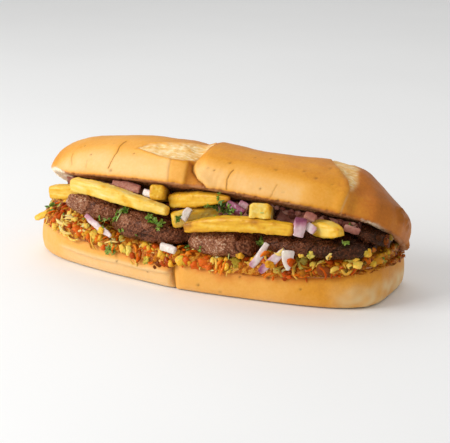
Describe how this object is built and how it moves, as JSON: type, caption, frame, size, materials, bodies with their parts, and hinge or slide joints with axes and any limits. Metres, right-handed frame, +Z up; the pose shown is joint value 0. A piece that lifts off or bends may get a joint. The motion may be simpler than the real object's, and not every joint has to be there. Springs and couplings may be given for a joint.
{
  "type": "liver sandwich",
  "caption": "Long split bread roll propped open at the front over slices of fried liver, potato chips, red onion and a bed of vegetable relish; hinged at the back.",
  "frame": {"origin": "under the middle of the sandwich's bounding box, on the surface it rests on", "axes": "+X along the roll, to the right when looking at its open side; +Z up; the open side faces -Y"},
  "size_m": [0.2538, 0.0932, 0.0868],
  "materials": {
    "crust": null,
    "fried_potato": null,
    "red_onion": null,
    "fried_liver": null,
    "relish": null,
    "chopped_onion": null
  },
  "bodies": {
    "root": {"roll_base": "crust", "roll_lid": "crust", "chip_01": "fried_potato", "chip_02": "fried_potato", "chip_03": "fried_potato", "chip_04": "fried_potato", "chip_05": "fried_potato", "chip_06": "fried_potato", "chip_07": "fried_potato", "chip_08": "fried_potato", "chip_09": "fried_potato", "onion_01": "red_onion", "onion_02": "red_onion", "onion_03": "red_onion", "onion_04": "red_onion", "onion_05": "red_onion", "onion_06": "red_onion", "onion_07": "red_onion", "onion_08": "red_onion", "onion_09": "red_onion", "onion_10": "red_onion", "onion_11": "red_onion", "onion_12": "red_onion", "onion_13": "red_onion", "onion_14": "red_onion", "onion_15": "red_onion", "liver_1": "fried_liver", "liver_2": "fried_liver", "liver_3": "fried_liver", "liver_4": "fried_liver", "liver_5": "fried_liver", "relish_bed": "relish", "onion_heap": "chopped_onion"}
  },
  "joints": []
}
